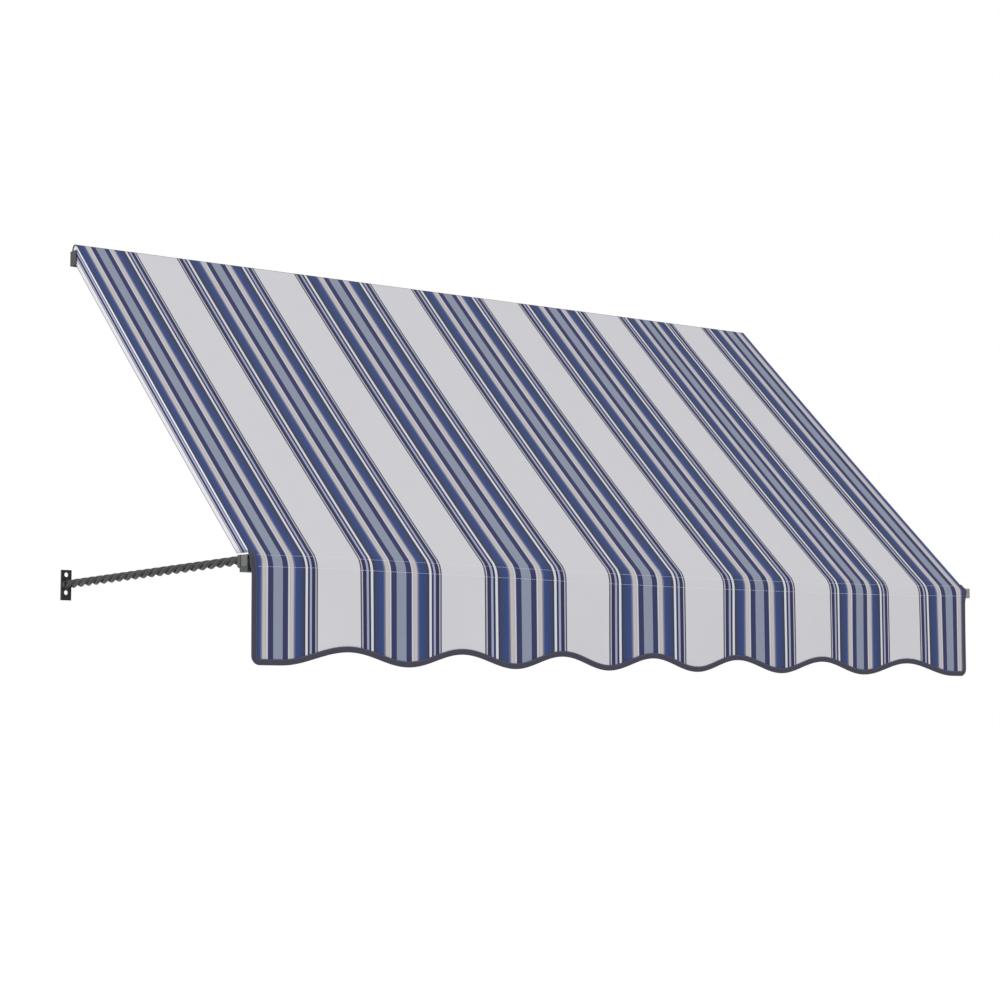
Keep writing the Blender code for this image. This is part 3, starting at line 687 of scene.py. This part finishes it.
canvas, start = new_finish("striped_canvas_weave", {"Roughness": 0.88, "IOR": 1.42})
place = start.node("SeparateXYZ", {}, {0: start.node("UVMap", {"uv_map": "cloth"}, {})})
down_cloth = place.beside(1)
in_band = place.fract() / BAND_SHARE
from_edge = 0.5 - abs(in_band - 0.5)
stripes = start.node("ValToRGB", {"stops": yarn_stops()}, {0: from_edge * 2})
across = place * BAND_AND_GAP
weave = plain_weave(start, across, down_cloth, WEAVE_PITCH)
stretched = start.node("CombineXYZ", {}, {0: across * 700, 1: down_cloth * 9, 2: 0.0})
slub = start.noise(stretched, 1.0, 3.0)
mottle = start.noise(start.place(), 26.0, 4.0)
# Painted shade: a narrow band on the pocket's crest is darkened and mottled, as the shade of the
# roll
crest = (down_cloth < crest_at - CREST_SHADE_SPAN[0]) * (down_cloth > crest_at - CREST_SHADE_SPAN[1])
wear_and_painted_shade = crest * (mottle * 0.8 + 0.2)
shade = (0.955 + weave * 0.03 + slub * 0.035 + mottle * 0.035) * (1 - wear_and_painted_shade * 0.8)
grey = start.node("CombineColor", {}, {0: shade, 1: shade, 2: shade})
shaded = {"data_type": "RGBA", "blend_type": "MULTIPLY"}
woven = start.node("Mix", shaded, {0: 1.0, 6: stripes, 7: grey}, 2)
vary(canvas, {
    "Base Color": woven,
    "Roughness": 0.8 + slub * 0.14,
    "Normal": start.bump(weave * 0.8 + slub * 0.4, 0.0002, 0.35),
})

verts = grid.reshape(-1, 3).tolist()
numbers = np.arange(rows * columns).reshape(rows, columns)
faces, corners = [], []
maps = []
for up, run_down in zip(ups, down):
    maps.append([(stripe_phase(x - drift(x, up)), run_down) for x, _ in canvas_hem])
cloth_patch(numbers, maps, faces, corners)
slope_rows = range(first, first + SLOPE_ROWS + 1)
for side, column in ((-1, 0), (1, columns - 1)):
    flap, maps = [], []
    widths = [*RETURN_REACHES[:-1], RETURN_WIDTH - RETURN_HEM_LINE, RETURN_WIDTH]
    for k, row in enumerate(slope_rows):
        share_down = k / SLOPE_ROWS
        line = [numbers[row][column]]
        line_maps = []
        for step, width in enumerate(widths):
            if side < 0:
                phase = BAND_SHARE * float(np.interp(width, RETURN_REACHES, RETURN_YARNS))
            else:
                phase = stripe_phase(right_hem + width)
            line_maps.append((phase, down[row]))
            if step == 0:
                continue
            high = return_top - width * math.tan(slope)
            low = return_low + width / math.tan(slope)
            up = high + (low - high) * share_down
            edge = Vector(slope_spot(grid[row][column][0], up))
            fall = -off_slope * width
            line.append(len(verts))
            verts.append([edge.x, edge.y + fall.x, edge.z + fall.y])
        flap.append(line)
        maps.append(line_maps)
    body = [line[:-1][::side] for line in flap]
    cloth_patch(body, [line[:-1][::side] for line in maps], faces, corners)
    hem_line = [line[-2:][::side] for line in flap]
    hem_maps = [[(BAND_SHARE * EDGE_LINE_MIDDLE, down[row])] * 2 for row in slope_rows]
    cloth_patch(hem_line, hem_maps, faces, corners)
canopy = piece_from("canopy_canvas", verts, faces, canvas, corners, 45)
shell(canopy, CANVAS_THICK)
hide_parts("canopy")

# Stitches
# Two rows of white polyester thread hold the sleeve behind the canvas. Each stitch is a short
# thread that presses into the cloth, and the rows run a little high towards the right.
STITCH_PITCH = 0.0042
STITCH_LENGTH = 0.0031
STITCH_FREE_END = 0.011
THREAD_RADIUS = 0.00024
THREAD_WHITE = (246, 246, 248)
THREAD_SHADE = (226, 227, 232)
# Depth of each row below the fold, at the same places along X
STITCH_PLACES = (-0.80, -0.668, -0.632, -0.404, -0.133, 0.140, 0.414, 0.663, 0.830)
UPPER_ROW = (-0.0040, -0.0058, -0.0050, -0.0036, -0.0006, 0.0006, -0.0014, -0.0041, -0.0090)
LOWER_ROW = (0.0145, 0.0130, 0.0133, 0.0148, 0.0173, 0.0189, 0.0175, 0.0155, 0.0112)


def front_spot(x, depth):
    """Place and outward direction on the outside of the canvas, by depth below the fold."""
    radius = bend_at(x)
    reach = bend_reach(radius)
    if depth >= reach:
        return Vector((x, fold.x - ripple(x, depth), fold.y - depth)), Vector((0, -1, 0))
    if -depth >= reach * math.sin(slope):
        spot = slope_spot(x, -depth / math.sin(slope))
        return Vector(spot), Vector((0, off_slope.x, off_slope.y))
    rise = reach - depth
    back = math.sqrt(radius ** 2 - rise ** 2)
    spot = Vector((x, fold.x + radius - back, fold.y - depth))
    return spot, Vector((0, -back / radius, rise / radius))


thread, start = new_finish("white_thread", {"IOR": 1.5})
fuzz = start.noise(start.place(), 1500.0, 2.0)
vary(thread, {
    "Base Color": fuzz.mixed(linear(*THREAD_SHADE), linear(*THREAD_WHITE)),
    "Roughness": 0.5 + fuzz * 0.2,
    "Normal": start.bump(fuzz, 0.0001, 0.4),
})


def add_stitch(verts, faces, start_at, end_at, outward):
    """A thread of six sides with a blunt tip at each end."""
    along = (end_at - start_at).normalized()
    beside = along.cross(outward).normalized()
    base = len(verts)
    length = (end_at - start_at).length
    verts.append(start_at - outward * THREAD_RADIUS)
    for share in (0.14, 0.86):
        for k in range(6):
            angle = math.pi * k / 3
            ring = beside * math.cos(angle) + outward * math.sin(angle) * 0.9
            verts.append(start_at + along * length * share + ring * THREAD_RADIUS)
    verts.append(end_at - outward * THREAD_RADIUS)
    for k in range(6):
        after = (k + 1) % 6
        faces.append((base, base + 1 + after, base + 1 + k))
        faces.append((base + 1 + k, base + 1 + after, base + 7 + after, base + 7 + k))
        faces.append((base + 7 + k, base + 7 + after, base + 13))


verts, faces = [], []
for row in (UPPER_ROW, LOWER_ROW):
    for x in np.arange(left_edge + STITCH_FREE_END, right_edge - STITCH_FREE_END, STITCH_PITCH):
        ends = (float(x), float(x) + STITCH_LENGTH)
        spots = [front_spot(end, float(np.interp(end, STITCH_PLACES, row))) for end in ends]
        add_stitch(verts, faces, spots[0][0], spots[1][0], spots[0][1])
stitches = piece_from("sleeve_stitches", verts, faces, thread, sharp=70)
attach(stitches, "root")

# Valance braid
# A navy braid folded over the sides and hem of the valance and sewn through, with a thread
# that shows along its inner edge. It follows the bend to the slope at both ends.
BRAID_WIDTH = 0.0098
BRAID_NAVY = (66, 65, 82)
BRAID_SHADE = (52, 52, 66)
BRAID_THREAD = (92, 90, 116)
RIB_PITCH = 0.0016
BRAID_SEAM = 0.0085
SEAM_WIDTH = 0.0009
SEAM_PITCH = 0.0034
SEAM_SHOWS = 0.74
EAR_OUT = 0.0042
EAR_MIDDLE = 0.002
EAR_HALF = 0.026

braid, start = new_finish("navy_braid_weave", {"IOR": 1.45})
place = start.node("SeparateXYZ", {}, {0: start.node("UVMap", {"uv_map": "cloth"}, {})})
across_braid = place.beside(1)
rib = (place * (2 * math.pi / RIB_PITCH)).sine() * 0.5 + 0.5
cloud = start.noise(start.place(), 90.0, 4.0)
at_edge = (across_braid > BRAID_SEAM) * (across_braid < BRAID_SEAM + SEAM_WIDTH)
in_stitch = (place / SEAM_PITCH).fract() < SEAM_SHOWS
sewn = at_edge * in_stitch
cloth_colour = (cloud * 0.75 + rib * 0.25).mixed(linear(*BRAID_SHADE), linear(*BRAID_NAVY))
vary(braid, {
    "Base Color": sewn.mixed(cloth_colour, linear(*BRAID_THREAD)),
    "Roughness": 0.72 + cloud * 0.18,
    "Normal": start.bump(rib * 0.5 + sewn * 0.5, 0.0003, 0.5),
})


def braid_section():
    """The folded braid as (inwards, outwards) from the edge of the canvas, and its map."""
    slot = CANVAS_THICK / 2 + CLEAR
    half = slot + BRAID_THICK
    outer = [(BRAID_WIDTH, half - 0.0002), (BRAID_WIDTH - 0.0004, half), (0.0040, half + 0.0001)]
    for a in np.linspace(math.pi / 2, math.pi, 5):
        outer.append((half + half * math.cos(a), half * math.sin(a)))
    section = outer + [(a, -b) for a, b in reversed(outer[:-1])]
    inner = [(BRAID_WIDTH, -slot), (BRAID_THICK + slot, -slot), (BRAID_THICK, 0.0)]
    section += inner + [(a, -b) for a, b in reversed(inner[:-1])]
    return section


def ear(depth):
    """The braid's turned-in ends stand out past the cloth where it bends over the bar."""
    offset = min(abs(depth - EAR_MIDDLE) / EAR_HALF, 1.0)
    return EAR_OUT * math.cos(offset * math.pi / 2) ** 2


def braid_path():
    """Places on the edge of the canvas with the outward direction there."""
    side_bend = []
    reach = bend_reach(BEND_AT_ENDS)
    inner = BEND_AT_ENDS - CANVAS_THICK / 2
    centre = (fold.x + BEND_AT_ENDS, fold.y - reach)
    for angle in np.linspace(slope + math.pi / 2, math.pi, 9):
        out = Vector((0, math.cos(angle), math.sin(angle)))
        side_bend.append((Vector((0, *centre)) + out * inner, out))
    lift = Vector((0, up_slope.x, up_slope.y))
    foot, out = side_bend[0]
    side_bend[:0] = [(foot + lift * up, out) for up in (0.012, 0.008, 0.004)]

    def hung(x, depth):
        front = fold.x + CANVAS_THICK / 2 - ripple(x, depth)
        return Vector((x + lean(depth), front, fold.y - depth)), Vector((0, -1, 0))

    def at_side(x, way):
        bend = [(Vector((x, spot.y, spot.z)), out) for spot, out in side_bend]
        hem_depth = hem[0][1] if way < 0 else hem[-1][1]
        edge = bend + [hung(x, depth) for depth in np.linspace(reach, hem_depth, 30)[1:-1]]
        for spot, _ in edge:
            spot.x += way * ear(fold.y - spot.z)
        return edge

    hem = hem_points(0.0)
    path = at_side(left_edge, -1) + [hung(x, depth) for x, depth in hem]
    return path + at_side(right_edge, 1)[::-1]


section = braid_section()
path = braid_path()
verts, run = [], [0.0]
for k, (spot, out) in enumerate(path):
    before = path[max(k - 1, 0)][0]
    after = path[min(k + 1, len(path) - 1)][0]
    inward = out.cross(after - before).normalized()
    verts += [spot + inward * a + out * b for a, b in section]
    if k:
        run.append(run[-1] + (spot - before).length)
sides = len(section)
faces = tube_faces(len(path), sides)
corners = []
for ring in range(len(path) - 1):
    for side in range(sides):
        after = (side + 1) % sides
        for number, place_on in ((ring, side), (ring, after), (ring + 1, after), (ring + 1, side)):
            corners.append((run[number], section[place_on][0]))
faces.append(tuple(reversed(range(sides))))
faces.append(tuple(range((len(path) - 1) * sides, len(path) * sides)))
corners += [(0.0, a) for a, _ in reversed(section)]
corners += [(run[-1], a) for a, _ in section]
edging = piece_from("valance_braid", verts, faces, braid, corners, 60)
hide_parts("valance_binding")
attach(edging, "root")
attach(canopy, "root")

# Floor
# Plain pale ground 2.3 metres below the middle bracket, as under a window. It is painted near
# white, glows a little where the camera sees it and keeps the shadow of the awning.
FLOOR_BELOW = 2.3
FLOOR_HALF = 30.0
FLOOR_GLOW = 0.35

pale, start = new_finish("pale_floor", {"Roughness": 0.9})
camera_ray = start.node("LightPath", {}, {})
cloud = start.noise(start.place(), 3.0, 2.0)
vary(pale, {
    "Base Color": cloud.mixed((0.92, 0.92, 0.92, 1), (0.94, 0.94, 0.94, 1)),
    "Emission Color": camera_ray.mixed((0, 0, 0, 1), (1, 1, 1, 1)),
})
pale.node_tree.nodes["Principled BSDF"].inputs["Emission Strength"].default_value = FLOOR_GLOW
mesh = bpy.data.meshes.new("floor")
square = ((-1, -1), (1, -1), (1, 1), (-1, 1))
ground = [(x * FLOOR_HALF, y * FLOOR_HALF, -FLOOR_BELOW) for x, y in square]
mesh.from_pydata(ground, [], [(0, 1, 2, 3)])
mesh.materials.append(pale)
floor = bpy.data.objects.new("floor", mesh)
bpy.context.scene.collection.objects.link(floor)

# Light
# Even studio light from all round, and one large soft lamp from the upper left that gives the
# side return and the metal their lights.
ROOM_LEVEL = 0.855
KEY_POWER = 525.0

world = bpy.data.worlds.new("studio")
bpy.context.scene.world = world
world.use_nodes = True
world.node_tree.nodes.clear()
start = Socket(world.node_tree)
ray = start.node("LightPath", {}, {})
seen = ray.maths("MAXIMUM", ray, ray.maths("MAXIMUM", ray.beside(3), ray.beside(6)))
room = start.node("Background", {}, {"Color": (1, 1, 1, 1), "Strength": ROOM_LEVEL})
white = start.node("Background", {}, {"Color": (1, 1, 1, 1), "Strength": 1.0})
both = start.node("MixShader", {}, {0: seen, 1: room, 2: white})
out = world.node_tree.nodes.new("ShaderNodeOutputWorld")
world.node_tree.links.new(both.output, out.inputs[0])


def soft_lamp(name, spot, aim, size, power):
    lamp = bpy.data.lights.new(name, "AREA")
    lamp.shape = "SQUARE"
    lamp.size = size
    lamp.energy = power
    item = bpy.data.objects.new(name, lamp)
    bpy.context.scene.collection.objects.link(item)
    item.location = spot
    item.rotation_euler = (Vector(aim) - Vector(spot)).to_track_quat("-Z", "Y").to_euler()


soft_lamp("key_lamp", (-11.3, -3.2, 2.7), (0, -0.3, -0.3), 5.0, KEY_POWER)

# Camera
# Where the photograph was taken from: low on the left, looking a little up and to the right,
# with a long lens.
CAMERA_AT = (-2.739, -3.851, -0.8037)
CAMERA_LENS = 85.03
YAW = 0.64473
PITCH = 0.08679
ROLL = 0.003814

view = Vector((math.sin(YAW) * math.cos(PITCH), math.cos(YAW) * math.cos(PITCH), math.sin(PITCH)))
right = Vector((math.cos(YAW), -math.sin(YAW), 0))
up = right.cross(view)
rolled_right = right * math.cos(ROLL) + up * math.sin(ROLL)
rolled_up = up * math.cos(ROLL) - right * math.sin(ROLL)
lens = bpy.data.cameras.new("photo_camera")
lens.lens = CAMERA_LENS
lens.sensor_width = 36.0
lens.clip_end = 200.0
camera = bpy.data.objects.new("photo_camera", lens)
bpy.context.scene.collection.objects.link(camera)
turned = Matrix((rolled_right, rolled_up, -view)).transposed().to_4x4()
camera.matrix_world = Matrix.Translation(CAMERA_AT) @ turned
bpy.context.scene.camera = camera
bpy.context.scene.view_settings.view_transform = "Standard"
